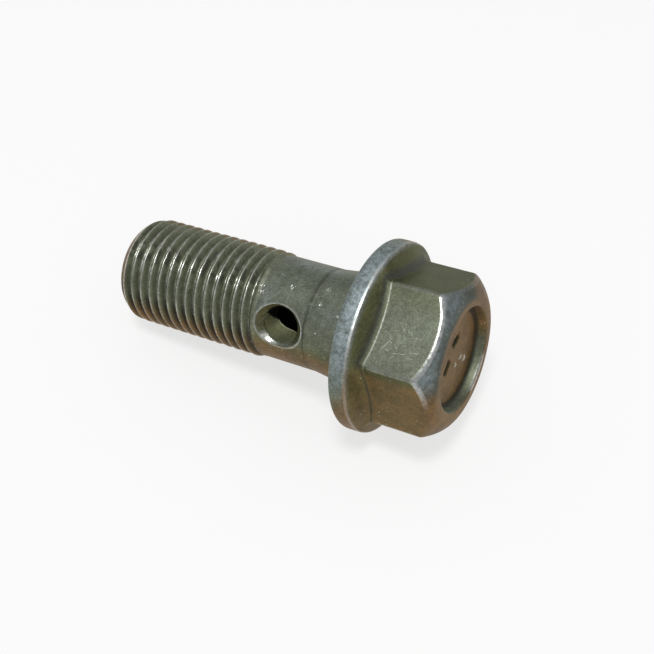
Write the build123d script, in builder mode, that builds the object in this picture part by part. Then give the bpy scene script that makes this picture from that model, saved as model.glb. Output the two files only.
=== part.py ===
from build123d import *
from math import asin, atan2, cos, degrees, hypot, radians, sin, tan
import os

os.makedirs("parts", exist_ok=True)

# The bolt is drawn upright, with its bearing face at z = 0, the head above it and the
# thread below. Then it is rolled and laid down on its flange and its tip. Sizes in mm.

# Shank. The M10 x 1 thread is drawn as a plain cylinder of its outside diameter
length_under_head = 24.4
thread_diameter = 9.9
threaded_length = 14.2
run_out_length = 1.1
tip_chamfer = 0.75
tip_chamfer_length = 1.3
shank_diameter = 9.35
neck_diameter = 10.3
neck_length = 4.2
neck_radius_length = 0.5

# Flange
flange_diameter = 17.0
rim_height = 1.65
rim_rounding = 0.45
flange_slope = 21.5

# Head, crowned at the top and dished
across_flats = 12.8
head_height = 8.45
head_edge_rounding = 0.35
head_foot_rounding = 0.4
crown_diameter = 11.2
crown_drop = 1.5
crown_bulge = 0.1
dish_diameter = 9.3
dish_floor_diameter = 8.6
dish_depth = 0.9

# Oil way: a bore up from the tip and a hole right across it, countersunk at both ends
bore_diameter = 3.5
bore_depth = 19.4
bore_mouth_chamfer = 0.4
drill_point_angle = 59.0
cross_hole_diameter = 3.3
cross_hole_below_seat = 7.1
countersink_diameter = 4.7
countersink_angle = 45.0
cross_hole_from_flat = 30.0

# How it lies, turned round its own axis
roll_angle = 31.0

thread_radius = thread_diameter / 2
shank_radius = shank_diameter / 2
neck_radius = neck_diameter / 2
flange_radius = flange_diameter / 2
crown_radius = crown_diameter / 2
corner_radius = across_flats / 2 / cos(radians(30))
bore_radius = bore_diameter / 2
cross_hole_radius = cross_hole_diameter / 2
countersink_radius = countersink_diameter / 2
tip = -length_under_head
thread_end = tip + threaded_length
cone_top = rim_height + (flange_radius - crown_radius) * tan(radians(flange_slope))
dish_floor = head_height - dish_depth

with BuildPart() as banjo_bolt:
    # Thread blank, shank, neck and flange in one turned body
    with BuildSketch(Plane.XZ):
        with BuildLine():
            underside = Polyline(
                (0, cone_top),
                (0, tip),
                (thread_radius - tip_chamfer, tip),
                (thread_radius, tip + tip_chamfer_length),
                (thread_radius, thread_end),
                (shank_radius, thread_end + run_out_length),
                (shank_radius, -neck_length),
                (neck_radius, -neck_radius_length),
                (neck_radius + neck_radius_length, 0),
                (flange_radius - rim_rounding, 0),
            )
            edge = RadiusArc(underside @ 1, (flange_radius, rim_rounding), -rim_rounding)
            Polyline(
                edge @ 1,
                (flange_radius, rim_height),
                (crown_radius, cone_top),
                (0, cone_top),
            )
        make_face()
    revolve(axis=Axis.Z)

    # Hexagon, trimmed by a turned crown with the dish in it
    with BuildPart(mode=Mode.PRIVATE) as hexagon:
        with BuildSketch(Plane.XY.offset(rim_height)):
            RegularPolygon(across_flats / 2, 6, major_radius=False, rotation=30)
        extrude(amount=head_height - rim_height)
        fillet(hexagon.edges().filter_by(Axis.Z), head_edge_rounding)
        with BuildSketch(Plane.XZ):
            with BuildLine():
                dish = Polyline(
                    (0, dish_floor),
                    (dish_floor_diameter / 2, dish_floor),
                    (dish_diameter / 2, head_height),
                    (crown_radius, head_height),
                )
                crown = ThreePointArc(
                    dish @ 1,
                    (
                        (crown_radius + corner_radius) / 2 + crown_bulge,
                        head_height - crown_drop / 2 + crown_bulge,
                    ),
                    (corner_radius, head_height - crown_drop),
                )
                Polyline(crown @ 1, (corner_radius, 0), (0, 0), (0, dish_floor))
            make_face()
        revolve(axis=Axis.Z, mode=Mode.INTERSECT)
    add(hexagon.part)
    foot = banjo_bolt.edges().filter_by_position(Axis.Z, rim_height, cone_top, (False, True))
    fillet(foot, head_foot_rounding)

    # Bore from the tip
    with BuildSketch(Plane.XZ):
        Polygon(
            (0, tip),
            (bore_radius + bore_mouth_chamfer, tip),
            (bore_radius, tip + bore_mouth_chamfer),
            (bore_radius, tip + bore_depth),
            (0, tip + bore_depth + bore_radius / tan(radians(drill_point_angle))),
            align=None,
        )
    revolve(axis=Axis.Z, mode=Mode.SUBTRACT)

    # Cross hole
    across = Vector(1, 0, 0).rotate(Axis.Z, cross_hole_from_flat)
    hole_plane = Plane((0, 0, -cross_hole_below_seat), across, across.cross(Vector(0, 0, 1)))
    sink_depth = (countersink_radius - cross_hole_radius) / tan(radians(countersink_angle))
    sink_reach = thread_radius - shank_radius
    sink_width = countersink_radius + sink_reach * tan(radians(countersink_angle))
    with BuildSketch(hole_plane):
        Polygon(
            (-thread_radius, 0),
            (-thread_radius, sink_width),
            (sink_depth - shank_radius, cross_hole_radius),
            (shank_radius - sink_depth, cross_hole_radius),
            (thread_radius, sink_width),
            (thread_radius, 0),
            align=None,
        )
    revolve(axis=Axis(hole_plane.origin, across), mode=Mode.SUBTRACT)

# Laid down: the flange's rounded edge and the first full thread touch the ground together
reach = rim_rounding - tip - tip_chamfer_length
drop = flange_radius - rim_rounding - thread_radius
lie_angle = degrees(atan2(drop, reach) + asin(rim_rounding / hypot(drop, reach)))
laid = Rot(0, 90 - lie_angle, 0) * Rot(0, 0, roll_angle) * banjo_bolt.part
laid.label = "banjo_bolt"
export_step(laid, "parts/banjo_bolt.step")
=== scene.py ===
from math import asin, atan2, cos, hypot, pi, radians, sin, tan
from types import SimpleNamespace

import bpy
import numpy as np
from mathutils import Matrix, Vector


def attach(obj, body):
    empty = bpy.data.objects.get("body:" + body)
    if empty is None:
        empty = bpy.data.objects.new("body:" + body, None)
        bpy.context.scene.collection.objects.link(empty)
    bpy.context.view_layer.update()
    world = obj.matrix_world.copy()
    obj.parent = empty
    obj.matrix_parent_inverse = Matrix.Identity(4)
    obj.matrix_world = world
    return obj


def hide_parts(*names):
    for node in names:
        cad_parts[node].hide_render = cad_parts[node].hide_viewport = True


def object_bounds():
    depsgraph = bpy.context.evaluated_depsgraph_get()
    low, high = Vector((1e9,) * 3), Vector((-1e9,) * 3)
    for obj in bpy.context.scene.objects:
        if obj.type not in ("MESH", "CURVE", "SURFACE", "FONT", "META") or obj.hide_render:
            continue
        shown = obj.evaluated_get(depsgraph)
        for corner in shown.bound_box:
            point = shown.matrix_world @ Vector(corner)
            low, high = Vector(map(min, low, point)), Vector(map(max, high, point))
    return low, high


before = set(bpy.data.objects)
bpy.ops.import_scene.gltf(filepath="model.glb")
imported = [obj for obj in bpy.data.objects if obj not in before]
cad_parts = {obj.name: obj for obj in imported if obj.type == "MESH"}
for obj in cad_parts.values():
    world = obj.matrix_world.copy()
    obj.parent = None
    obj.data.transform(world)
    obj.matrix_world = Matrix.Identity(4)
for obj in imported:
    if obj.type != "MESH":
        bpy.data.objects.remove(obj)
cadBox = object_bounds()
print("frame loaded, nodes:", sorted(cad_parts))

# The bolt is worked out upright, in millimetres: the seat under its flange at z = 0, the
# head above and the thread below. Then it is rolled and laid down, as the CAD part is.
bolt = {
    "rollAngle": 31.0,
    # thread, right hand
    "threadDiameter": 9.9,
    "threadPitch": 1.0,
    "threadDepth": 0.6,
    "grooveAtFlat": -24.71,  # height of a groove where it passes the first flat
    "crestWear": 0.05,  # how much the thread's crests are worn and bruised
    "threadFadeStart": -10.35,
    "threadFadeEnd": -9.25,
    # shank and neck
    "lengthUnderHead": 24.4,
    "tipChamfer": 0.75,
    "tipChamferLength": 1.3,
    "tipChamferCurve": 1.6,  # 1 is a straight chamfer, more rounds it into the thread
    "shankDiameter": 9.35,
    "neckDiameter": 10.3,
    "neckLength": 4.2,
    "neckRadiusLength": 0.5,
    "neckCrease": -4.55,  # height of the turning line between shank and neck
    "neckRoundings": (0.08, 0.35, 0.12),  # where it starts, where it is full and at the seat
    # flange
    "flangeDiameter": 17.0,
    "rimHeight": 1.65,
    "rimRounding": 0.45,
    "rimBevelHeight": 0.17,
    "rimBevelSlope": 19.0,
    "rimBevelRoundings": (0.07, 0.03),  # at the bevel's lower and upper edge
    "rimPolish": 0.4,
    "flangeSlope": 21.5,
    # head
    "acrossFlats": 12.8,
    "headHeight": 8.45,
    "headEdgeRounding": 0.4,
    "headFootRounding": 0.95,
    "crownDiameter": 11.2,
    "crownDrop": 1.5,
    "crownBulge": 0.1,
    "crownEdgeRounding": 0.28,
    "headTopRounding": 0.35,
    "dishDiameter": 9.3,
    "dishFloorDiameter": 8.6,
    "dishDepth": 0.9,
    "dishRoundings": (0.16, 0.16),  # at the lip and at the floor
    "dishLipGlint": -3.0,  # direction of the painted highlight on the dish's lip
    # marks in the dish: strokes by place and turn, pips by place and size
    "strokes": ((-0.95, 1.22, 1.1), (-0.9, -1.18, 1.5)),
    "strokeDepth": 0.3,
    "pips": ((1.2, 0.3, 0.3), (0.6, -0.6, 0.24), (2.2, 0.4, 0.34)),
    "pipHeight": 0.14,
    # oil way
    "boreDiameter": 3.5,
    "boreDepth": 19.4,
    "boreMouthChamfer": 0.4,
    "drillPointAngle": 59.0,
    "crossHoleDiameter": 3.3,
    "crossHoleBelowSeat": 7.1,
    "countersinkDiameter": 4.7,
    "countersinkAngle": 45.0,
    "crossHoleFromFlat": 30.0,
    "holeWindow": (-9.9, -4.3),  # heights between which the shank's mesh opens round a hole
    "holeWindowTurn": 36.0,  # degrees to each side that it opens
    "boreWindowTurn": 84.0,  # the same for the bore's mesh
    "boreWindowMargin": 0.25,  # how far that opens past the hole, up and down
    "boreDarkDepth": 6.0,  # how far in from the tip the bore's painted shadow grows to full
    "glintDirection": -31.0,  # side of the countersink with a painted highlight
    "litWall": 2.9,  # how far in the drilled wall is lit before its painted shadow, at the most
    # directions round the upright bolt
    "brownReflectingSide": (0.21, -0.6, 0.775),  # the side painted with a brown reflection
    "rubbedSide": (-0.9, 0.35, 0.25),  # the side the light falls on, painted paler
    "rubbedMiddle": 166.75,  # direction round the axis that is lit most
    "leastBrownSide": 187.0,  # direction round the axis with the least painted brown reflection
    "scratchesAt": (-0.9, 5.4),  # middle of the scratches, across and up the front flat
    # strips along the bolt: direction of the middle, then degrees from it to the end and to full
    "strips": {
        # most strips place painted light: highlights on the thread, crests and rim, shade under the thread,
        # dark reflection on flanks, grey-blue and brown reflection on rim and crown, and highlight, shade
        # and light by the front flat, low flat and flange slope
        "threadHighlight": (172, 36, 12),
        "rubbedCrests": (183, 62, 25),
        "shadeUnderThread": (270, 66, 38),
        "flankDarkReflection": (170, 17, 8),
        "rimHighlight": (174, 48, 16),
        "rimTopHighlight": (174, 44, 14),
        "rimGreyBlueReflection": (170, 84, 20),
        "rimBrownReflection": (262, 30, 14),
        "frontFlat": (180, 33, 27),
        "lowFlat": (240, 33, 27),
        "lightCone": (181, 39, 29),
        "crownGreyBlueReflection": (178, 62, 25),
    },
    # surface unevenness
    "waviness": 0.012,
    "bruiseDepth": 0.07,
    "sharpAngle": 50.0,  # faces that meet at a steeper angle are shaded with a sharp edge
}

threadRadius = bolt["threadDiameter"] / 2
shankRadius = bolt["shankDiameter"] / 2
neckRadius = bolt["neckDiameter"] / 2
flangeRadius = bolt["flangeDiameter"] / 2
crownRadius = bolt["crownDiameter"] / 2
dishRadius = bolt["dishDiameter"] / 2
dishFloorRadius = bolt["dishFloorDiameter"] / 2
boreRadius = bolt["boreDiameter"] / 2
holeRadius = bolt["crossHoleDiameter"] / 2
apothem = bolt["acrossFlats"] / 2
cornerRadius = apothem / cos(radians(30))
tip = -bolt["lengthUnderHead"]
headTop = bolt["headHeight"]
rimHeight = bolt["rimHeight"]
dishFloor = headTop - bolt["dishDepth"]
holeHeight = -bolt["crossHoleBelowSeat"]
windowLow, windowHigh = bolt["holeWindow"]
holeCentres = [radians(bolt["crossHoleFromFlat"]), radians(bolt["crossHoleFromFlat"]) + pi]
sinkSlope = tan(radians(bolt["countersinkAngle"]))
sinkDepth = (bolt["countersinkDiameter"] / 2 - holeRadius) / sinkSlope
millimetre = 0.001


def latticeValue(i, j, k, seed):
    # a value from -1 to 1 for one point of the lattice, scrambled from its whole numbers
    wholeBits = 0xFFFFFFFF
    mixed = (i * 374761393 + j * 668265263 + k * 2147483647 + seed * 974634777) & wholeBits
    mixed = ((mixed ^ (mixed >> 13)) * 1274126177) & wholeBits
    return ((mixed ^ (mixed >> 16)) & 0xFFFF) / 32767.5 - 1


def latticeNoise(x, y, z, seed, scale=1.0):
    # smooth random values from -1 to 1, the same on every run
    scaled = (x * scale, y * scale, z * scale)
    cells = [np.floor(v).astype(np.int64) for v in scaled]
    parts = [v - c for v, c in zip(scaled, cells)]
    ease = [p * p * (3 - 2 * p) for p in parts]
    total = 0
    for i in (0, 1):
        for j in (0, 1):
            for k in (0, 1):
                share = 1
                for side, e in zip((i, j, k), ease):
                    share = share * (e if side else 1 - e)
                total = total + share * latticeValue(cells[0] + i, cells[1] + j, cells[2] + k, seed)
    return total


def smoothStep(low, high, value):
    t = np.clip((value - low) / (high - low), 0, 1)
    return t * t * (3 - 2 * t)


def strip(name, around):
    # 1 in the middle of a named strip along the bolt, 0 outside it
    middle, end, full = bolt["strips"][name]
    away = np.degrees(np.abs((around - radians(middle) + pi) % (2 * pi) - pi))
    return smoothStep(end, full, away)


def curve(start, corner, end, t):
    # leaves start towards the corner and comes into end from there, as t goes from 0 to 1
    return start * (1 - t) ** 2 + corner * 2 * t * (1 - t) + end * t**2


def roundedPath(points, roundings, longest, arcSteps):
    # a section line through the points, with its corners rounded and long runs divided
    path = [np.array(points[0], float)]
    for i in range(1, len(points)):
        here = np.array(points[i], float)
        before = np.array(points[i - 1], float)
        rounding = roundings[i]
        if rounding:
            after = np.array(points[i + 1], float)
            into = (here - before) / np.linalg.norm(here - before)
            out = (after - here) / np.linalg.norm(after - here)
            start, end = here - into * rounding, here + out * rounding
            bend = [curve(start, here, end, t) for t in np.linspace(0, 1, arcSteps + 1)]
        else:
            bend = [here]
        begin = path[-1]
        gap = bend[0] - begin
        parts = max(1, int(np.ceil(np.linalg.norm(gap) / longest)))
        path += [begin + gap * s / parts for s in range(1, parts)]
        path += bend
    return path


def circleThrough(points):
    # centre and radius of the circle through three points, from its equation at each of them
    terms = [(2 * x, 2 * y, 1) for x, y in points]
    x, y, rest = np.linalg.solve(terms, [x**2 + y**2 for x, y in points])
    return (x, y), np.sqrt(rest + x**2 + y**2)


def columnAngles():
    # directions of the mesh's columns round the axis, closer together at the hexagon's corners
    nearCorner = [0, 0.4, 0.9, 1.5, 2.2, 3.2]
    toMiddle = np.linspace(4.5, 30, 11)
    half = np.concatenate([nearCorner, toMiddle])
    sector = np.concatenate([-half[-2:0:-1], half])
    return np.radians(np.concatenate([30 + 60 * k + sector for k in range(6)]))


def newObject(name, data):
    made = bpy.data.objects.new(name, data)
    bpy.context.scene.collection.objects.link(made)
    return made


angles = columnAngles()
columns = len(angles)

# the mesh in the making: points in millimetres, faces, and for each point its wear and painted
# highlight, its painted shadow and how polished it is
shell = {"points": [], "faces": [], "worn": [], "paintedShadow": [], "polish": []}


def addPoints(points, worn=0.0, paintedShadow=0.0, polish=None):
    # worn and highlighted metal counts as polished, unless polish says otherwise
    points = np.asarray(points, float)
    flat = points.reshape(-1, 3)
    first = len(shell["points"])
    shell["points"] += flat.tolist()
    if polish is None:
        polish = np.clip(np.asarray(worn) * 3, 0, 1)
    for name, values in (("worn", worn), ("paintedShadow", paintedShadow), ("polish", polish)):
        shell[name] += np.broadcast_to(values, points.shape[:-1]).ravel().tolist()
    return np.arange(first, first + len(flat)).reshape(points.shape[:-1])


def addFace(*corners):
    kept = [c for i, c in enumerate(corners) if c != corners[i - 1]]
    if len(set(kept)) == len(kept) and len(kept) > 2:
        shell["faces"].append([int(c) for c in kept])


def bridge(rows, skip=()):
    # faces between neighbouring rings of point numbers, leaving out the columns in skip
    count = len(rows[0])
    for low, high in zip(rows, rows[1:]):
        for j in range(count):
            if j not in skip:
                k = (j + 1) % count
                addFace(low[j], low[k], high[k], high[j])


def closeRing(ring, middle):
    # a fan of faces from a ring to one point
    for j in range(columns):
        addFace(ring[j], ring[(j + 1) % columns], int(middle))


def aroundAxis(radius, around, z):
    # places given by distance from the axis, direction and height
    return np.stack(np.broadcast_arrays(radius * np.cos(around), radius * np.sin(around), z), -1)


def ringAt(radius, height, worn=0.0, paintedShadow=0.0, polish=None):
    return addPoints(aroundAxis(radius, angles, height), worn, paintedShadow, polish)


def grooveTurns(around, z):
    # turns of the thread up to here, counted from the middle of a groove
    return (z - bolt["grooveAtFlat"]) / bolt["threadPitch"] - around / (2 * pi)


def threadFade(z):
    # 1 along the full thread, down to 0 where it has run out into the shank
    return 1 - smoothStep(bolt["threadFadeStart"], bolt["threadFadeEnd"], z)


def threadShare(turns):
    # 1 on the crest, 0 at the bottom of the groove, with rounded crests and roots
    rootHalf, crestHalf = 0.06, 0.05
    softRoot, softCrest = 0.1, 0.2
    away = np.abs((turns + 0.5) % 1 - 0.5)
    flank = (away - rootHalf) / (0.5 - rootHalf - crestHalf)
    flank = np.clip(flank, -softRoot, 1 + softCrest)
    root = np.where(flank < softRoot, (flank + softRoot) ** 2 / (4 * softRoot), flank)
    crest = 1 - (1 + softCrest - flank) ** 2 / (4 * softCrest)
    return np.where(flank > 1 - softCrest, crest, root)


def tipRadius(z):
    share = np.clip((z - tip) / bolt["tipChamferLength"], 0, 1)
    return threadRadius - bolt["tipChamfer"] * (1 - share) ** bolt["tipChamferCurve"]


def shaftRadius(around, z):
    # radius of the thread and shank at a direction and height, and how near it is to a crest
    turns = grooveTurns(around, z)
    share = threadShare(turns)
    bruise = latticeNoise(around * 9, turns - around / (2 * pi), z * 0.9, seed=3)
    bruise = smoothStep(0.15, 0.9, bruise)
    worn = bolt["crestWear"] * smoothStep(0.7, 1, share) * (0.35 + 0.65 * bruise)
    profile = threadRadius - bolt["threadDepth"] * (1 - share) - worn
    fade = threadFade(z)
    radius = shankRadius + fade * (profile - shankRadius)
    return np.minimum(radius, tipRadius(z)), share * fade


def shaftPoints(around, z):
    radius, crest = shaftRadius(around, z)
    return aroundAxis(radius, around, z), crest


def addShaft(places, crest):
    # worn crests, lighter on the lit side, and a strip of painted highlight on crests and groove bottoms;
    # painted shade in the grooves, most under the thread, and painted dark reflection on the flanks
    x, y, z = np.moveaxis(places, -1, 0)
    around = np.arctan2(y, x)
    fade = threadFade(z)
    fromGroove = (grooveTurns(around, z) + 0.5) % 1 - 0.5  # above 0 on the head's side
    rub = 0.35 + 0.65 * smoothStep(-0.3, 0.7, latticeNoise(x, y, z, seed=21, scale=2.3))
    dots = smoothStep(0.0, 0.5, latticeNoise(x, y, z, seed=8, scale=3.1))
    top = smoothStep(0.85, 0.99, crest)
    bottom = fade * smoothStep(0.2, 0.03, crest)
    bright = strip("threadHighlight", around)
    rub = rub * (0.35 + 0.65 * strip("rubbedCrests", around))
    # crest wear, lighter on the lit side, and the strip's painted highlights
    worn = (0.65 * rub + 0.5 * bright) * top + 0.8 * bright * dots * bottom
    below = strip("shadeUnderThread", around) * fade * smoothStep(0.8, 0.35, crest) * (fromGroove < 0.25)
    flank = smoothStep(-0.46, -0.42, fromGroove) * smoothStep(-0.12, -0.2, fromGroove) * fade
    flank = flank * strip("flankDarkReflection", around)
    flank = flank * smoothStep(0.25, 0, latticeNoise(x, y, z, seed=4, scale=2.6))
    # painted shade in groove bottoms and under the thread, painted dark reflection on the flanks
    darkShade = 0.25 * bottom * (1 - bright * dots) + 0.75 * below + 0.75 * flank
    return addPoints(places, worn, darkShade, top + bottom * (0.3 + 0.7 * dots))


def buildThread(tipRing, endHeight):
    # rows follow the helix, so that every crest and groove is a clean line in the mesh; they
    # start a turn below the tip and end above the last height, and are cut off at both
    phases = [0, 0.06, 0.12, 0.2, 0.29, 0.37, 0.42, 0.46, 0.5, 0.54, 0.58, 0.63, 0.71, 0.8, 0.88, 0.94]
    perTurn = len(phases)
    turns = int(np.ceil((endHeight - bolt["grooveAtFlat"]) / bolt["threadPitch"])) + 3
    levels = [n - 1 + phase for n in range(turns) for phase in phases]
    starts = [bolt["grooveAtFlat"] + bolt["threadPitch"] * level for level in levels]
    around = np.broadcast_to(angles, (len(starts), columns))
    z = np.array(starts)[:, None] + bolt["threadPitch"] * around / (2 * pi)
    places, crest = shaftPoints(around, z)
    closeBy = 0.015  # rows this near an end are drawn into it
    below, above = z <= tip + closeBy, z >= endHeight - closeBy
    endPlaces, endCrest = shaftPoints(angles, np.full(columns, endHeight))
    endRing = addShaft(endPlaces, endCrest)
    index = np.empty(z.shape, int)
    inner = ~(below | above)
    index[inner] = addShaft(places[inner], crest[inner])
    index = np.where(below, tipRing[None, :], index)
    index = np.where(above, endRing[None, :], index)
    for k in range(len(starts) - 1):
        for j in range(columns - 1):
            addFace(index[k, j], index[k, j + 1], index[k + 1, j + 1], index[k + 1, j])
        up = k + perTurn  # the last column meets the first, a turn on
        if up + 1 < len(starts):
            addFace(index[k, -1], index[up, 0], index[up + 1, 0], index[k + 1, -1])
    return endRing


def windowColumns(centre, halfWidth):
    # numbers of the columns across a window, in order
    offset = (angles - centre + pi) % (2 * pi) - pi
    inside = [j for j in range(columns) if abs(offset[j]) <= halfWidth]
    inside.sort(key=lambda j: offset[j])
    return inside


def windowEdge(grid, across):
    # point numbers round a window's edge, anticlockwise seen from outside
    bottom = [grid[0][j] for j in across]
    right = [row[across[-1]] for row in grid[1:-1]]
    top = [grid[-1][j] for j in reversed(across)]
    left = [row[across[0]] for row in reversed(grid[1:-1])]
    return np.array(bottom + right + top + left)


def openWindows(grid, halfWidth, build):
    # builds each end of the cross hole into a window in the grid; gives the columns left out
    gaps = set()
    for centre in holeCentres:
        across = windowColumns(centre, halfWidth)
        gaps |= set(across[:-1])
        build(centre, windowEdge(grid, across))
    return gaps


def holeAxes(centre):
    # directions out along the cross hole and sideways across it
    return np.array([cos(centre), sin(centre), 0]), np.array([-sin(centre), cos(centre), 0])


def holeRing(centre, depth, t, s, worn=0.0, paintedShadow=0.0, polish=None):
    # points given by their distance along a hole, across it and up the bolt
    outward, sideways = holeAxes(centre)
    places = depth[:, None] * outward + t[:, None] * sideways
    places[:, 2] = holeHeight + s
    return addPoints(places, worn, paintedShadow, polish)


def edgeInHole(centre, edge):
    # the points of a window's edge, along the hole, across it and up the bolt
    outward, sideways = holeAxes(centre)
    places = np.array([shell["points"][i] for i in edge])
    return places @ outward, places @ sideways, places[:, 2] - holeHeight


def onShaft(centre, t, s):
    # depth along the hole at which the shaft's surface is met
    depth = np.sqrt(shankRadius**2 - t**2)
    for _ in range(3):
        radius, _crest = shaftRadius(centre + np.arctan2(t, depth), s + holeHeight)
        depth = np.sqrt(radius**2 - t**2)
    return depth


def sinkMouth(direction):
    # distance from the hole's axis at which its cone meets the round shank
    mouth = np.full(len(direction), bolt["countersinkDiameter"] / 2)
    for _ in range(12):  # each round comes closer to it
        depth = np.sqrt(shankRadius**2 - (mouth * np.cos(direction)) ** 2)
        mouth = holeRadius + np.maximum(0, depth - shankRadius + sinkDepth) * sinkSlope
    return mouth


def spots(radius, direction):
    # across the hole and up the bolt, for a ring round the hole
    return radius * np.cos(direction), radius * np.sin(direction)


def surroundRings(centre, direction, mouth, t, s):
    # over the shank from the window's edge, then the lip of the hole, worn and painted bright
    wornBand = 0.07
    steps = 7
    nearT, nearS = spots(mouth + wornBand, direction)
    rings = []
    for step in range(1, steps + 1):
        share = (step / steps) ** 0.8
        tt = t * (1 - share) + nearT * share
        ss = s * (1 - share) + nearS * share
        worn = 0.0 if step < steps else 0.4
        rings.append(holeRing(centre, onShaft(centre, tt, ss), tt, ss, worn))
    # the lip's painted highlight is weaker over the quarter from one side round to the head's side
    tt, ss = spots(mouth + 0.01, direction)
    degreesRound = np.degrees(direction)
    lip = 1 - 0.75 * smoothStep(5, 30, degreesRound) * smoothStep(90, 70, degreesRound)
    lip = lip * (0.5 + 0.35 * latticeNoise(tt, ss, 0 * tt, seed=21, scale=1.9))
    rings.append(holeRing(centre, onShaft(centre, tt, ss) - 0.02, tt, ss, lip))
    return rings


def coneRing(centre, direction, radius, worn, sunk=0.0):
    depth = shankRadius - sinkDepth + (radius - holeRadius) / sinkSlope - sunk
    return holeRing(centre, depth, *spots(radius, direction), worn)


def coneRings(centre, direction, mouth):
    # down the countersink, with a painted highlight on one side
    glint = smoothStep(0.85, 0.97, np.cos(direction - radians(bolt["glintDirection"])))
    start = mouth - 0.05
    rings = [coneRing(centre, direction, start, 0.15 + 0.7 * glint)]
    for share in (0.85, 0.7, 0.55, 0.4, 0.25, 0.12):
        radius = holeRadius + 0.04 + (start - holeRadius) * share
        rings.append(coneRing(centre, direction, radius, 0.75 * glint))
    end = np.full(len(direction), holeRadius + 0.02)
    rings.append(coneRing(centre, direction, end, 0.0, sunk=0.01))
    return rings


def wallRings(centre, direction):
    # the drilled wall: lit down to a slanting line with a painted highlight along it, and painted shadow
    # below it
    degreesRound = np.degrees(direction)
    tt, ss = spots(holeRadius, direction)
    start = shankRadius - sinkDepth - 0.06
    end = np.sqrt(boreRadius**2 - tt**2)
    rise = np.clip((degreesRound + 114) / 80, 0, 1)
    litDepth = bolt["litWall"] * np.sin(pi / 2 * rise) ** 1.3 * smoothStep(100, 60, degreesRound)
    litDepth = np.minimum(litDepth, start - end - 0.2)
    shown = smoothStep(0.02, 0.2, litDepth)
    rings = []
    for share in np.linspace(0, 1, 12):
        # painted shade near the top of the wall on one side
        shade = 0.35 * smoothStep(0.35, 0.0, share * litDepth) * smoothStep(-60, -100, degreesRound)
        rings.append(holeRing(centre, start - litDepth * share, tt, ss, 0, 1 - shown * (1 - shade), 0))
    for step, worn, darkShade in ((0.02, 1.0, 0), (0.15, 1.0, 0), (0.18, 0, 1)):
        depth = start - litDepth - step
        rings.append(holeRing(centre, depth, tt, ss, worn * shown, 1 - shown * (1 - darkShade)))
    rings.append(holeRing(centre, end, tt, ss, 0, 1))
    return rings


def buildHole(centre, edge):
    # one end of the cross hole, from a window in the shank's mesh down to the bore
    _depth, t, s = edgeInHole(centre, edge)
    direction = np.arctan2(s, t)
    mouth = sinkMouth(direction)
    rings = [np.array(edge)]
    rings += surroundRings(centre, direction, mouth, t, s)
    rings += coneRings(centre, direction, mouth)
    rings += wallRings(centre, direction)
    bridge(rings)


def buildBoreWindow(centre, edge):
    # the bore's wall round one end of the cross hole, in painted shadow
    depth, t, s = edgeInHole(centre, edge)
    swing = np.arctan2(t, depth) * boreRadius
    mouthT, mouthS = spots(holeRadius, np.arctan2(s, swing))
    mouthSwing = np.arcsin(np.clip(mouthT / boreRadius, -1, 1)) * boreRadius
    rings = [np.array(edge)]
    for share in (0.5, 1.0):
        turn = (swing * (1 - share) + mouthSwing * share) / boreRadius
        ss = s * (1 - share) + mouthS * share
        rings.append(holeRing(centre, boreRadius * np.cos(turn), boreRadius * np.sin(turn), ss, 0, 1))
    bridge(list(reversed(rings)))


def buildBore():
    # drill point, bore and the flat face of the tip, up to the thread's first ring, with painted shadow in
    # the bore
    halfWindow = holeRadius + bolt["boreWindowMargin"]
    boreEnd = tip + bolt["boreDepth"]
    point = addPoints([0, 0, boreEnd + boreRadius / tan(radians(bolt["drillPointAngle"]))], 0, 1)
    endRing = ringAt(boreRadius, boreEnd, paintedShadow=1)
    closeRing(endRing, point)
    levels = np.linspace(holeHeight - halfWindow, holeHeight + halfWindow, 15)
    grid = [ringAt(boreRadius, z, paintedShadow=1) for z in levels]
    bridge([endRing, grid[-1]])
    gaps = openWindows(grid, radians(bolt["boreWindowTurn"]), buildBoreWindow)
    bridge(list(reversed(grid)), skip=gaps)
    mouth = bolt["boreMouthChamfer"]
    levels = np.linspace(holeHeight - halfWindow, tip + mouth, 9)[1:]
    darkFrom = tip + bolt["boreDarkDepth"]
    low = [ringAt(boreRadius, z, paintedShadow=smoothStep(tip, darkFrom, z)) for z in levels]
    face = roundedPath(
        [(boreRadius, tip + mouth), (boreRadius + mouth, tip), (threadRadius - bolt["tipChamfer"], tip)],
        [0, 0.06, 0],
        longest=0.35,
        arcSteps=3,
    )
    low += [ringAt(r, z) for r, z in face[1:]]
    bridge([grid[0]] + low)
    return low[-1]


def buildShank(threadRing):
    # the shank from the thread up to the neck, with both ends of the cross hole
    grid = [threadRing]
    for z in np.linspace(windowLow, windowHigh, 33)[1:]:
        grid.append(addShaft(*shaftPoints(angles, np.full(columns, z))))
    gaps = openWindows(grid, radians(bolt["holeWindowTurn"]), buildHole)
    bridge(grid, skip=gaps)
    return grid[-1]


def hexRadius(around):
    # distance from the axis to the hexagon's side, with rounded corners, and how far round
    # the nearest corner is
    rounding = bolt["headEdgeRounding"]
    centre = (apothem - rounding) / cos(radians(30))
    fromFlat = np.abs((around + pi / 6) % (pi / 3) - pi / 6)
    fromCorner = pi / 6 - fromFlat
    onFlat = fromFlat <= atan2(centre * sin(radians(30)), apothem)
    bend = np.sqrt(np.maximum(0, rounding**2 - (centre * np.sin(fromCorner)) ** 2))
    return np.where(onFlat, apothem / np.cos(fromFlat), centre * np.cos(fromCorner) + bend), fromCorner


def crownHeight(radius):
    outer = (cornerRadius, headTop - bolt["crownDrop"])
    bulge = bolt["crownBulge"]
    middle = ((crownRadius + cornerRadius) / 2 + bulge, headTop - bolt["crownDrop"] / 2 + bulge)
    (centreR, centreZ), size = circleThrough([(crownRadius, headTop), middle, outer])
    return centreZ + np.sqrt(size**2 - (radius - centreR) ** 2)


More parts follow.
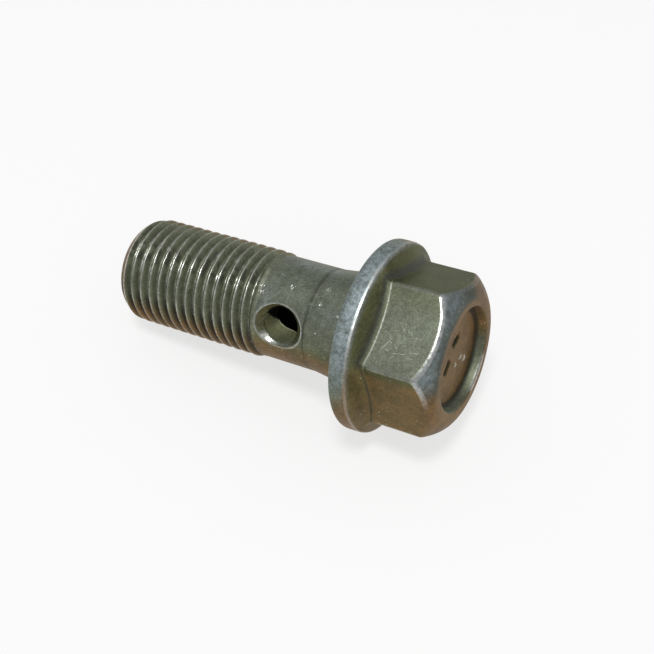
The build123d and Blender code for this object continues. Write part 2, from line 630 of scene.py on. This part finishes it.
# lines that the head's parts share: the flange's slope, the bevel on the rim, the hexagon's
# side in each direction, the middle of the rounding at its foot, and the side's upper edge
slope = radians(bolt["flangeSlope"])
bevelStart = rimHeight - bolt["rimBevelHeight"]
rimEdge = flangeRadius - bolt["rimBevelHeight"] * tan(radians(bolt["rimBevelSlope"]))
rimTop = rimHeight + (flangeRadius - rimEdge) * tan(slope)
sideRadius, fromCorner = hexRadius(angles)
footRound = bolt["headFootRounding"]
footRadius = sideRadius + footRound
footHeight = rimHeight + (footRound - (footRadius - flangeRadius) * sin(slope)) / cos(slope)
sideTop = crownHeight(sideRadius)
sideEnd = sideTop - bolt["crownEdgeRounding"]
crownEdgeRadius = sideRadius - bolt["crownEdgeRounding"] * 0.8
crownStart = crownRadius + bolt["headTopRounding"]
frontFlat = strip("frontFlat", angles)
lowFlat = strip("lowFlat", angles)


def flangeRows():
    # neck, seat and rim with its bevel; the section's last point only gives it its direction
    seatRadius = neckRadius + bolt["neckRadiusLength"]
    rimRounding = bolt["rimRounding"] * 1.15  # as round as an arc of its radius
    section = roundedPath(
        [
            (shankRadius, windowHigh),
            (shankRadius, -bolt["neckLength"]),
            (neckRadius, -bolt["neckRadiusLength"]),
            (seatRadius, 0),
            (flangeRadius, 0),
            (flangeRadius, bevelStart),
            (rimEdge, rimTop),
            (crownRadius, rimHeight + (flangeRadius - crownRadius) * tan(slope)),
        ],
        [0, *bolt["neckRoundings"], rimRounding, *bolt["rimBevelRoundings"], 0],
        longest=0.5,
        arcSteps=6,
    )
    rows = []
    for r, z in section[1:]:
        if z > rimTop and r < rimEdge - 0.04:
            break
        edge = smoothStep(bevelStart - 0.05, bevelStart + 0.05, z)
        # the bevel a little worn all round, with a painted highlight on the lit side
        worn = edge * (0.15 + 0.8 * strip("rimHighlight", angles))
        rows.append(ringAt(r, z, worn, polish=bolt["rimPolish"] * edge))
    return rows


def coneRows():
    # up the flange's slope, from the rim to the rounded foot of the hexagon
    endRadius, endHeight = footRadius - footRound * sin(slope), footHeight - footRound * cos(slope)
    rows = []
    for share in (0.04, 0.14, 0.35, 0.6, 0.8, 1):
        atRim = share < 0.1
        r, z = rimEdge + (endRadius - rimEdge) * share, rimTop + (endHeight - rimTop) * share
        # painted highlight along the rim's upper edge on the lit side
        worn = 0.8 * atRim * strip("rimTopHighlight", angles)
        rows.append(ringAt(r, z, worn, polish=bolt["rimPolish"] * atRim))
    return rows


def footRows():
    # a painted highlight along the foot of the front flat and a painted shadow line along the low flat's
    highlightLine, shadowLine = 0.91, 0.66
    rows = []
    for share in (0.2, 0.4, 0.55, shadowLine, 0.76, 0.84, highlightLine, 0.96, 1):
        turn = (radians(270) - slope) * (1 - share) + pi * share
        worn = 0.72 * frontFlat * smoothStep(0.06, 0.02, abs(share - highlightLine))
        darkShade = 0.7 * lowFlat * smoothStep(0.14, 0.03, abs(share - shadowLine))
        r, z = footRadius + footRound * cos(turn), footHeight + footRound * sin(turn)
        rows.append(ringAt(r, z, worn, darkShade))
    return rows


def sideRows():
    cornerWorn = 0.22 * smoothStep(radians(2.2), radians(0.3), fromCorner)
    heights = [footHeight + (sideEnd - footHeight) * share for share in np.linspace(0.12, 1, 9)]
    return [ringAt(sideRadius, height, cornerWorn) for height in heights]


def crownRows():
    # the edge between the flats and the crown, worn and painted bright, most along the front flat, then the
    # crown itself
    edgeHeight = crownHeight(crownEdgeRadius)
    lowCorner = smoothStep(238, 216, np.degrees(angles)) * lowFlat
    crownEdgeWearAndHighlight = 0.06 + 0.84 * frontFlat - 0.05 * lowFlat + 0.4 * lowCorner
    rows = []
    for t in (0.2, 0.4, 0.6, 0.8, 1.0):
        r = curve(sideRadius, sideRadius, crownEdgeRadius, t)
        z = curve(sideEnd, sideTop, edgeHeight, t)
        rows.append(ringAt(r, z, crownEdgeWearAndHighlight * (1.1 - abs(t - 0.5))))
    for share in np.linspace(0.12, 1, 9):
        r = crownEdgeRadius + (crownStart - crownEdgeRadius) * share
        rows.append(ringAt(r, crownHeight(r)))
    return rows


def dishMarks(x, y):
    # two short strokes sunk in the dish's floor, painted in shadow, and three low pips with painted
    # highlights: their height, and how bright and how dark they are
    sunk = 0
    for strokeX, strokeY, turn in bolt["strokes"]:
        along = (x - strokeX) * cos(turn) + (y - strokeY) * sin(turn)
        over = -(x - strokeX) * sin(turn) + (y - strokeY) * cos(turn)
        sunk = sunk + smoothStep(0.78, 0.5, np.abs(along)) * smoothStep(0.4, 0.16, np.abs(over))
    raised = 0
    for pipX, pipY, size in bolt["pips"]:
        raised = raised + smoothStep(size, size * 0.35, np.hypot(x - pipX, (y - pipY) * 0.8))
    lift = bolt["pipHeight"] * raised - bolt["strokeDepth"] * sunk
    return lift, 0.7 * raised, np.clip(1.2 * sunk, 0, 1)


def dishRows():
    section = roundedPath(
        [
            (crownStart, float(crownHeight(crownStart))),
            (crownRadius, headTop),
            (dishRadius, headTop),
            (dishFloorRadius, dishFloor),
            (0.12, dishFloor),
        ],
        [0, bolt["headTopRounding"] * 0.9, *bolt["dishRoundings"], 0],
        longest=0.14,
        arcSteps=5,
    )
    marksEnd = 3.6  # no mark is further out than this
    lipGlint = smoothStep(0.9, 0.98, np.cos(angles - radians(bolt["dishLipGlint"])))
    rows = []
    for r, z in section[1:]:
        lipHighlight = 0.5 * smoothStep(0.3, 0.05, abs(r - dishRadius)) * (z > headTop - 0.25) * lipGlint
        lift, bright, darkShade = 0, 0, 0
        if r < marksEnd:
            lift, bright, darkShade = dishMarks(r * np.cos(angles), r * np.sin(angles))
        # painted shade in the corner between the dish's floor and wall
        corner = 0.8 * smoothStep(0.42, 0.12, hypot(r - dishFloorRadius + 0.04, z - dishFloor))
        rows.append(ringAt(r, z + lift, lipHighlight + bright, darkShade + corner))
    return rows


def buildHead(neckRing):
    rows = [neckRing] + flangeRows() + coneRows() + footRows() + sideRows() + crownRows() + dishRows()
    bridge(rows)
    closeRing(rows[-1], addPoints([0, 0, dishFloor]))


def buildShell():
    tipRing = buildBore()
    threadRing = buildThread(tipRing, windowLow)
    neckRing = buildShank(threadRing)
    buildHead(neckRing)


def unevenness(places):
    # slight waves all over and small bruises on the edges, both only inwards
    x, y, z = places.T
    wave = 0.5 + 0.5 * latticeNoise(x, y, z, seed=11, scale=0.55)
    bruise = smoothStep(0.45, 0.8, latticeNoise(x, y, z, seed=5, scale=1.3))
    bruise = bruise * np.clip(np.array(shell["worn"]) * 1.3, 0, 1)
    aboveSeat = z > -0.2
    return bolt["waviness"] * wave + bolt["bruiseDepth"] * bruise * aboveSeat


def findRegions(places, normals):
    # which part of the bolt each point is on, as values from 0 to 1
    at = SimpleNamespace()
    at.x, at.y, at.z = places.T
    at.radius = np.hypot(at.x, at.y)
    at.around = np.arctan2(at.y, at.x) % (2 * pi)
    at.degrees = np.degrees(at.around)
    at.upward = normals[:, 2]
    onHead = smoothStep(rimHeight + 0.02, rimHeight + 0.06, at.z)
    crownFoot = headTop - bolt["crownDrop"] - 0.25
    at.outside = smoothStep(dishRadius - 0.05, dishRadius + 0.1, at.radius)
    wall = smoothStep(dishFloorRadius - 0.1, dishFloorRadius + 0.02, at.radius) * (1 - at.outside)
    at.dishWall = wall * (at.z > dishFloor - 0.1) * smoothStep(0.9, 0.5, np.sin(at.around))
    at.foot = smoothStep(0.06, 0.3, at.upward) * onHead * at.outside * (at.z < crownFoot - 0.25)
    at.flats = onHead * smoothStep(0.3, 0.1, at.upward) * at.outside
    at.crown = smoothStep(0.15, 0.4, at.upward) * (at.z > crownFoot) * at.outside
    at.rim = smoothStep(flangeRadius - 0.45, flangeRadius - 0.1, at.radius) * smoothStep(-0.1, 0.15, at.z)
    pastThread = smoothStep(windowLow, windowLow + 0.9, at.z)
    at.thread = 1 - pastThread
    at.shank = pastThread * smoothStep(0.2, -0.4, at.z)
    at.inHole = at.shank * smoothStep(shankRadius - 0.04, shankRadius - 0.1, at.radius)
    at.lowSide = smoothStep(206, 216, at.degrees) * smoothStep(310, 290, at.degrees)
    at.rubbed = 0.5 + 0.5 * np.cos(at.around - radians(bolt["rubbedMiddle"]))
    # thread, shank and neck face outwards as one plain round shaft
    shaft = np.clip(at.thread + at.shank * (1 - at.inHole), 0, 1)[:, None]
    at.facing = normals * (1 - shaft) + aroundAxis(1, at.around, 0) * shaft
    at.towardsRub = at.facing @ np.array(bolt["rubbedSide"])
    alongHole, _sideways = holeAxes(holeCentres[0])
    at.holeWall = at.inHole * smoothStep(0.5, 0.25, np.abs(normals @ alongHole))
    return at


def brownReflectionMask(at):
    # painted brown reflection underneath, on the far side, round the dish and at the tip
    brownReflectingSide = np.array(bolt["brownReflectingSide"]) / np.linalg.norm(bolt["brownReflectingSide"])
    brownReflection = smoothStep(0.24, 0.5, at.facing @ brownReflectingSide)
    brownReflection = brownReflection * (1 - at.crown * smoothStep(0.7, 0.86, at.rubbed))
    farSide = smoothStep(0.34, 0.16, np.cos(at.around - radians(bolt["leastBrownSide"])))
    brownReflection = np.maximum(brownReflection, 0.85 * farSide * (1 - 0.3 * at.foot) * at.outside)
    tipEnd = smoothStep(tip + 1.25, tip + 1.0, at.z) * smoothStep(0.1, -0.1, at.upward)
    brownReflection = np.maximum(brownReflection, tipEnd * (0.9 - 0.45 * smoothStep(4.3, 4.1, at.radius)))
    brownReflection = np.maximum(brownReflection, at.crown * smoothStep(5.5, 5.0, at.radius))
    brownReflection = np.maximum(brownReflection, 0.9 * at.rim * strip("rimBrownReflection", at.around))
    brownReflection = brownReflection * (1 - at.flats * smoothStep(220, 211, at.degrees))
    brownReflection = brownReflection * (1 - 0.9 * at.foot * smoothStep(0.12, 0.4, at.rubbed))
    underFoot = 0.45 + 0.25 * smoothStep(225, 250, at.degrees)
    brownReflection = np.maximum(brownReflection, underFoot * at.foot * at.lowSide)
    besideFoot = at.flats * (1 - at.lowSide) * smoothStep(1.6, 1.1, at.z - rimHeight)
    return brownReflection * (1 - 0.7 * besideFoot) * (1 - 0.8 * at.inHole) * (1 - at.dishWall)


def greyBlueReflectionMask(at):
    # a painted grey-blue reflection on the rim and crown, and in patches on the shank's lit side
    rim = at.rim * strip("rimGreyBlueReflection", at.around) * (0.7 + 0.3 * smoothStep(0.0, 0.9, at.z))
    crown = at.crown * strip("crownGreyBlueReflection", at.around) * smoothStep(5.2, 6.5, at.radius)
    patches = smoothStep(-0.25, 0.45, latticeNoise(at.x, at.y, at.z, seed=17, scale=0.45))
    shank = (0.06 + 0.24 * patches) * at.shank * smoothStep(0.5, 0.9, at.towardsRub)
    return 0.9 * rim + 0.52 * crown + shank


def finishMasks(places, normals):
    # how much of each tint, painted reflection, painted light and painted shade there is at each point
    at = findRegions(places, normals)
    front = at.flats * smoothStep(0.85, 0.95, -normals[:, 0])
    scratchY, scratchZ = bolt["scratchesAt"]
    scratches = smoothStep(2.3, 0.8, np.hypot(at.y - scratchY, at.z - scratchZ))
    # pale is painted light: the lit side of shank and thread, the dish's far wall and the front flat
    pale = (0.85 * at.shank + 0.6 * at.thread) * smoothStep(0.0, 0.8, at.towardsRub) * (1 - 0.8 * at.inHole)
    pale = pale + 0.22 * at.thread + 0.7 * at.dishWall + front * (1 - 0.4 * smoothStep(1.0, 3.0, at.y))
    cone = at.foot * smoothStep(0.72, 0.92, at.upward) * strip("lightCone", at.around)
    footBend = at.foot * smoothStep(0.15, 0.35, at.upward) * smoothStep(0.95, 0.8, at.upward)
    nearCrease = smoothStep(0.17, 0.04, np.abs(at.z - bolt["neckCrease"]))
    masks = {
        "brownReflection": brownReflectionMask(at),
        "greyBlueReflection": greyBlueReflectionMask(at),
        "pale": pale,
        # painted shade on the crown and in the bend at the foot of the flats
        "paintedShade": at.crown + footBend * (1 - at.lowSide),
        # painted light on the hole's lit wall, on the flange's slope at the front foot, a little on the
        # thread
        "light": at.holeWall + 0.09 * at.thread + 0.24 * cone,
        "scuffed": front * scratches + 0.25 * at.shank + 0.15 * front,
        # painted shade along the crease between shank and neck, on the lit side
        "creaseShade": 0.55 * nearCrease * at.shank * (1 - at.inHole) * at.rubbed,
    }
    return {name: np.clip(values, 0, 1) for name, values in masks.items()}


def layingMatrix():
    # as the part lies: the flange's rounded edge and the first full thread on the ground
    reach = bolt["rimRounding"] - tip - bolt["tipChamferLength"]
    drop = flangeRadius - bolt["rimRounding"] - threadRadius
    lie = atan2(drop, reach) + asin(bolt["rimRounding"] / hypot(drop, reach))
    down, roll = pi / 2 - lie, radians(bolt["rollAngle"])
    turnDown = np.array([[cos(down), 0, sin(down)], [0, 1, 0], [-sin(down), 0, cos(down)]])
    turnRound = np.array([[cos(roll), -sin(roll), 0], [sin(roll), cos(roll), 0], [0, 0, 1]])
    return turnDown @ turnRound


def buildBolt():
    buildShell()
    places = np.array(shell["points"])
    mesh = bpy.data.meshes.new("banjo_bolt_dressed")
    mesh.from_pydata((places * millimetre).tolist(), [], shell["faces"])
    normals = np.array([v.normal[:] for v in mesh.vertices])
    moved = places - normals * unevenness(places)[:, None]
    laid = moved @ layingMatrix().T * millimetre
    mesh.vertices.foreach_set("co", laid.ravel())
    mesh.update()
    mesh.shade_smooth()
    mesh.set_sharp_from_angle(angle=radians(bolt["sharpAngle"]))
    masks = {name: shell[name] for name in ("worn", "paintedShadow", "polish")}
    masks.update(finishMasks(places, normals))
    for name, values in masks.items():
        mesh.attributes.new(name, "FLOAT", "POINT").data.foreach_set("value", values)
    mesh.attributes.new("place", "FLOAT_VECTOR", "POINT").data.foreach_set("vector", places.ravel())
    triangles = sum(len(face) - 2 for face in shell["faces"])
    print("bolt built:", len(mesh.vertices), "points,", triangles, "triangles")
    return newObject("banjo_bolt_dressed", mesh)


boltPiece = buildBolt()


plating = {
    "olive": (0.09, 0.1, 0.04),
    # lighter tint, mostly for painted light
    "pale": (0.19, 0.208, 0.158),
    # painted brown reflection
    "brownReflection": (0.19, 0.113, 0.043),
    # painted grey-blue reflection
    "greyBlueReflection": (0.37, 0.44, 0.47),
    # painted shade
    "paintedShade": (0.07, 0.076, 0.064),
    # tint for painted light
    "light": (0.52, 0.54, 0.31),
    # bare steel, also used for painted highlights
    "bareSteelAndHighlight": (0.82, 0.83, 0.8),
    # black for painted shadow
    "shadowBlack": (0.012, 0.012, 0.01),
    "metallic": 0.94,
    "specular": 0.5,
    "roughness": 0.52,
    "roughnessSpread": 0.16,
    "wornRoughness": 0.2,
    "coat": 1.0,
    "coatRoughness": 0.13,
    "coatBending": 1.9,
    "patchiness": 0.6,  # how unevenly the edge wear and painted highlights are broken up
    "specks": 0.22,
    # share of bare steel and painted highlight that shows, and share of the painted shade
    "wearShare": 0.75,
    "scratchShare": 0.45,
    "speckShare": 0.4,
    "nickShare": 0.85,
    "paintedShadeShare": 0.8,
    # fine relief
    "bumpStrength": 0.35,
    "bumpDistance": 0.00004,
    "scratchDepth": 0.5,
    "nickDepth": 4.0,
    "nickRaggedness": 0.5,
    # direction in degrees, height and size of each nick, painted bright as a glint
    "nicksAndGlints": (
        (157, -3.45, 0.34),
        (175, -3.55, 0.22),
        (164, -6.7, 0.26),
        (178, -9.3, 0.36),
        (171, -9.5, 0.3),
        (182, -1.5, 0.16),
        (204, -3.35, 0.12),
    ),
}


def addNode(tree, kind, settings=None, **values):
    # values are named after the node's sockets, or _0, _1 and so on by the socket's number
    node = tree.nodes.new(kind)
    for name, value in (settings or {}).items():
        setattr(node, name, value)
    for name, value in values.items():
        socket = node.inputs[int(name[1:])] if name[0] == "_" else node.inputs[name]
        if isinstance(value, bpy.types.NodeSocket):
            tree.links.new(value, socket)
        else:
            socket.default_value = value
    return node


def calc(tree, operation, first, second=0.0, third=0.0):
    settings = {"operation": operation}
    return addNode(tree, "ShaderNodeMath", settings, _0=first, _1=second, _2=third).outputs[0]


def times(tree, first, second):
    return calc(tree, "MULTIPLY", first, second)


def largest(tree, values):
    total = values[0]
    for value in values[1:]:
        total = calc(tree, "MAXIMUM", total, value)
    return total


def spread(tree, value, low, high, newLow=0.0, newHigh=1.0):
    settings = {"interpolation_type": "SMOOTHSTEP"}
    node = addNode(tree, "ShaderNodeMapRange", settings, _0=value, _1=low, _2=high, _3=newLow, _4=newHigh)
    return node.outputs[0]


def blend(tree, share, first, second):
    first, second = [(*c, 1) if isinstance(c, tuple) else c for c in (first, second)]
    node = addNode(tree, "ShaderNodeMix", {"data_type": "RGBA"}, _0=share, _6=first, _7=second)
    return node.outputs[2]


def noise(tree, place, scale, detail, roughness):
    node = addNode(tree, "ShaderNodeTexNoise", Vector=place, Scale=scale, Detail=detail, Roughness=roughness)
    return node.outputs[0]


def mask(tree, name):
    return addNode(tree, "ShaderNodeAttribute", {"attribute_name": name}).outputs["Fac"]


def newMaterial(name):
    material = bpy.data.materials.new(name)
    material.use_nodes = True
    return material, material.node_tree, material.node_tree.nodes["Principled BSDF"]


def newGroup(name, inputs, outputs):
    # an input without a value is a place
    group = bpy.data.node_groups.new(name, "ShaderNodeTree")
    for label, value in inputs.items():
        kind = "NodeSocketVector" if value is None else "NodeSocketFloat"
        socket = group.interface.new_socket(name=label, in_out="INPUT", socket_type=kind)
        if value is not None:
            socket.default_value = value
    for label in outputs:
        group.interface.new_socket(name=label, in_out="OUTPUT", socket_type="NodeSocketFloat")
    return group, group.nodes.new("NodeGroupInput").outputs, group.nodes.new("NodeGroupOutput").inputs


def edgeWearGroup():
    # wear and painted highlights along the edges, broken up unevenly
    group, given, result = newGroup("edge wear and highlights", {"Place": None, "Worn": 0.0, "Patchiness": 0.5}, ["Wear"])
    patchy = spread(group, noise(group, given["Place"], 2.6, 5, 0.65), 0.35, 0.65)
    lost = times(group, calc(group, "SUBTRACT", 1.0, patchy), given["Patchiness"])
    kept = calc(group, "SUBTRACT", 1.0, lost)
    group.links.new(times(group, given["Worn"], kept), result["Wear"])
    return group


def grainGroup():
    # fine pitting of the plated skin, and small pale specks in it
    group, given, result = newGroup("plating grain", {"Place": None, "Specks": 0.5}, ["Height", "Speck"])
    coarseShare = 0.65
    coarse = noise(group, given["Place"], 5.0, 4, 0.6)
    fine = noise(group, given["Place"], 19.0, 2, 0.5)
    coarsePart = times(group, coarse, coarseShare)
    group.links.new(calc(group, "MULTIPLY_ADD", fine, 1 - coarseShare, coarsePart), result["Height"])
    cells = addNode(group, "ShaderNodeTexVoronoi", Vector=given["Place"], Scale=2.4)
    dot = spread(group, cells.outputs["Distance"], 0.17, 0.09)
    chosen = addNode(group, "ShaderNodeSeparateColor", _0=cells.outputs["Color"]).outputs[0]
    shown = spread(group, calc(group, "SUBTRACT", given["Specks"], chosen), 0.0, 0.05)
    group.links.new(times(group, dot, shown), result["Speck"])
    return group


def scratchGroup():
    # short straight scratches in three directions
    group, given, result = newGroup("scratches", {"Place": None, "Amount": 0.5}, ["Scratch"])
    place, texture, stretch = given["Place"], {"vector_type": "TEXTURE"}, (1, 7, 0.28)
    lines = []
    for turn, scale in ((0.5, 3.3), (1.35, 2.64), (2.5, 3.96)):
        slant = (turn, turn * 0.3, 0.2)
        node = addNode(group, "ShaderNodeMapping", texture, Vector=place, Rotation=slant, Scale=stretch)
        lines.append(spread(group, noise(group, node.outputs[0], scale, 1, 0.4), 0.66, 0.76))
    group.links.new(times(group, largest(group, lines), given["Amount"]), result["Scratch"])
    return group


def nickAndGlintGroup():
    # clusters of small nicks in the shank and neck, dented, and painted bright as glints
    group, given, result = newGroup("nicksAndGlints", {"Place": None, "Raggedness": 0.5}, ["Nick"])
    ragged = times(group, noise(group, given["Place"], 4.5, 3, 0.6), given["Raggedness"])
    meanRagged = plating["nickRaggedness"] / 2
    distance = {"operation": "DISTANCE"}
    nicksAndGlints = []
    for degreesRound, height, size in plating["nicksAndGlints"]:
        radius = np.interp(height, (-bolt["neckLength"], 0), (shankRadius, neckRadius))
        centre = aroundAxis(radius, radians(degreesRound), height).tolist()
        away = addNode(group, "ShaderNodeVectorMath", distance, _0=given["Place"], _1=centre)
        away = calc(group, "ADD", away.outputs["Value"], ragged)
        nicksAndGlints.append(spread(group, away, size + meanRagged, size * 0.5 + meanRagged))
    speckle = spread(group, noise(group, given["Place"], 7.0, 2, 0.6), 0.5, 0.56)
    group.links.new(times(group, largest(group, nicksAndGlints), speckle), result["Nick"])
    return group


def useGroup(tree, group, **values):
    return addNode(tree, "ShaderNodeGroup", {"node_tree": group}, **values).outputs


def platingColour(tree, place, close, bareAndHighlightParts):
    # tints, painted reflections, painted light and painted shade laid over one another, a broken tone over
    # them, then bare steel and painted highlights, then painted shadow
    broad = noise(tree, place, 0.5, 4, 0.6)
    fine = noise(tree, place, 7.0, 3, 0.6)
    tone = calc(tree, "ADD", times(tree, broad, 0.5), times(tree, close, 0.5))
    tintsAndPaintedLight = {
        "pale": mask(tree, "pale"),
        "paintedShade": times(tree, mask(tree, "paintedShade"), plating["paintedShadeShare"]),
        "light": mask(tree, "light"),
        "greyBlueReflection": times(tree, mask(tree, "greyBlueReflection"), spread(tree, close, 0.3, 0.6, 0.6, 1.0)),
        "brownReflection": times(tree, mask(tree, "brownReflection"), spread(tree, tone, 0.3, 0.6, 0.7, 1.0)),
    }
    colour = plating["olive"]
    for name, share in tintsAndPaintedLight.items():
        colour = blend(tree, share, colour, plating[name])
    shade = spread(tree, tone, 0.3, 0.7, 0.74, 1.26)
    shade = times(tree, shade, spread(tree, fine, 0.3, 0.7, 0.8, 1.2))
    scaled = {"operation": "SCALE"}
    colour = addNode(tree, "ShaderNodeVectorMath", scaled, _0=colour, Scale=shade).outputs[0]
    for name, amount in bareAndHighlightParts.items():
        bare = times(tree, amount, plating[name + "Share"])
        colour = blend(tree, bare, colour, plating["bareSteelAndHighlight"])
    shadowed = calc(tree, "MAXIMUM", mask(tree, "paintedShadow"), mask(tree, "creaseShade"))
    return blend(tree, shadowed, colour, plating["shadowBlack"])


def platingMaterial():
    material, tree, principled = newMaterial("olive plated steel")
    shader = principled.inputs
    place = addNode(tree, "ShaderNodeAttribute", {"attribute_name": "place"}).outputs["Vector"]
    worn, scuffed = mask(tree, "worn"), mask(tree, "scuffed")
    patchiness, ragged = plating["patchiness"], plating["nickRaggedness"]
    wear = useGroup(tree, edgeWearGroup(), Place=place, Worn=worn, Patchiness=patchiness)["Wear"]
    grain = useGroup(tree, grainGroup(), Place=place, Specks=plating["specks"])
    scratch = useGroup(tree, scratchGroup(), Place=place, Amount=scuffed)["Scratch"]
    nick = useGroup(tree, nickAndGlintGroup(), Place=place, Raggedness=ragged)["Nick"]
    close = noise(tree, place, 2.2, 5, 0.65)
    # scratches, specks, nicks painted bright as glints, edge wear with painted highlights
    bareAndHighlightParts = {"scratch": scratch, "speck": grain["Speck"], "wear": wear, "nick": nick}
    tree.links.new(platingColour(tree, place, close, bareAndHighlightParts), shader["Base Color"])
    # painted shadow is black, so nothing shines in it
    clear = calc(tree, "SUBTRACT", 1.0, mask(tree, "paintedShadow"))
    tree.links.new(times(tree, clear, plating["metallic"]), shader["Metallic"])
    tree.links.new(times(tree, clear, plating["specular"]), shader["Specular IOR Level"])
    # rubbed metal is smooth under a thin shine, patch by patch
    glossy = spread(tree, noise(tree, place, 3.2, 3, 0.6), 0.35, 0.55, 0.25, 1.0)
    glossy = calc(tree, "MAXIMUM", times(tree, mask(tree, "polish"), glossy), nick)
    tree.links.new(times(tree, glossy, plating["coat"]), shader["Coat Weight"])
    shader["Coat Roughness"].default_value = plating["coatRoughness"]
    shader["Coat IOR"].default_value = plating["coatBending"]
    uneven = plating["roughnessSpread"]
    rough = calc(tree, "MULTIPLY_ADD", close, uneven, plating["roughness"] - uneven / 2)
    smoothed = times(tree, glossy, plating["roughness"] - plating["wornRoughness"])
    tree.links.new(calc(tree, "SUBTRACT", rough, smoothed), shader["Roughness"])
    height = calc(tree, "MULTIPLY_ADD", scratch, -plating["scratchDepth"], grain["Height"])
    height = calc(tree, "MULTIPLY_ADD", nick, -plating["nickDepth"], height)
    strength, distance = plating["bumpStrength"], plating["bumpDistance"]
    bump = addNode(tree, "ShaderNodeBump", Strength=strength, Distance=distance, Height=height)
    tree.links.new(bump.outputs["Normal"], shader["Normal"])
    return material


boltPiece.data.materials.append(platingMaterial())
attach(boltPiece, "root")
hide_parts("banjo_bolt")
print("bolt finished")


studio = {
    "floorColour": (0.9, 0.9, 0.9),
    "floorRoughness": 0.9,
    "floorSize": 0.6,
    "floorGlow": 0.7,  # share of plain white in what the camera sees of the floor
    "worldStrength": 0.5,
    "key": {"place": (0.028, -0.123, 0.484), "size": 0.12, "power": 1.27},
    "cameraPlace": (26.599, -55.182, 75.454),  # millimetres
    "cameraTurn": (39.393, 1.054, 28.308),  # degrees
    "lens": 61.78,
    "nearestSeen": 0.001,
}


def buildFloor():
    half = studio["floorSize"] / 2
    height = cadBox[0][2]
    mesh = bpy.data.meshes.new("floor")
    corners = [(x * half, y * half, height) for x, y in ((-1, -1), (1, -1), (1, 1), (-1, 1))]
    mesh.from_pydata(corners, [], [(0, 1, 2, 3)])
    floor = newObject("floor", mesh)
    material, tree, shader = newMaterial("pale floor")
    shader.inputs["Base Color"].default_value = (*studio["floorColour"], 1)
    shader.inputs["Roughness"].default_value = studio["floorRoughness"]
    seen = addNode(tree, "ShaderNodeLightPath").outputs
    direct = largest(tree, [seen[f"Is {kind} Ray"] for kind in ("Camera", "Glossy", "Transmission")])
    white = addNode(tree, "ShaderNodeEmission", Strength=1.0).outputs[0]
    glow = times(tree, direct, studio["floorGlow"])
    mixed = addNode(tree, "ShaderNodeMixShader", _0=glow, _1=shader.outputs[0], _2=white).outputs[0]
    tree.links.new(mixed, tree.nodes["Material Output"].inputs["Surface"])
    mesh.materials.append(material)


def buildWorld():
    # plain light from all round, white past the floor's edge only where the camera sees it:
    # in the bolt, which is all metal, white would be more light
    world = bpy.data.worlds.new("studio")
    world.use_nodes = True
    tree = world.node_tree
    background = tree.nodes["Background"].inputs
    background["Color"].default_value = (1, 1, 1, 1)
    level = studio["worldStrength"]
    seen = addNode(tree, "ShaderNodeLightPath").outputs["Is Camera Ray"]
    tree.links.new(calc(tree, "MULTIPLY_ADD", seen, 1 - level, level), background["Strength"])
    bpy.context.scene.world = world


def addSoftLight(name):
    data = bpy.data.lights.new(name, "AREA")
    data.shape = "DISK"
    data.size = studio[name]["size"]
    data.energy = studio[name]["power"]
    light = newObject(name, data)
    light.location = studio[name]["place"]
    light.rotation_euler = (-Vector(studio[name]["place"])).to_track_quat("-Z", "Y").to_euler()


def buildCamera():
    data = bpy.data.cameras.new("camera")
    data.lens = studio["lens"]
    data.clip_start = studio["nearestSeen"]
    camera = newObject("camera", data)
    camera.location = [v * millimetre for v in studio["cameraPlace"]]
    camera.rotation_euler = [radians(v) for v in studio["cameraTurn"]]
    bpy.context.scene.camera = camera


buildFloor()
buildWorld()
addSoftLight("key")
buildCamera()
bpy.context.scene.view_settings.view_transform = "Standard"
print("studio built")
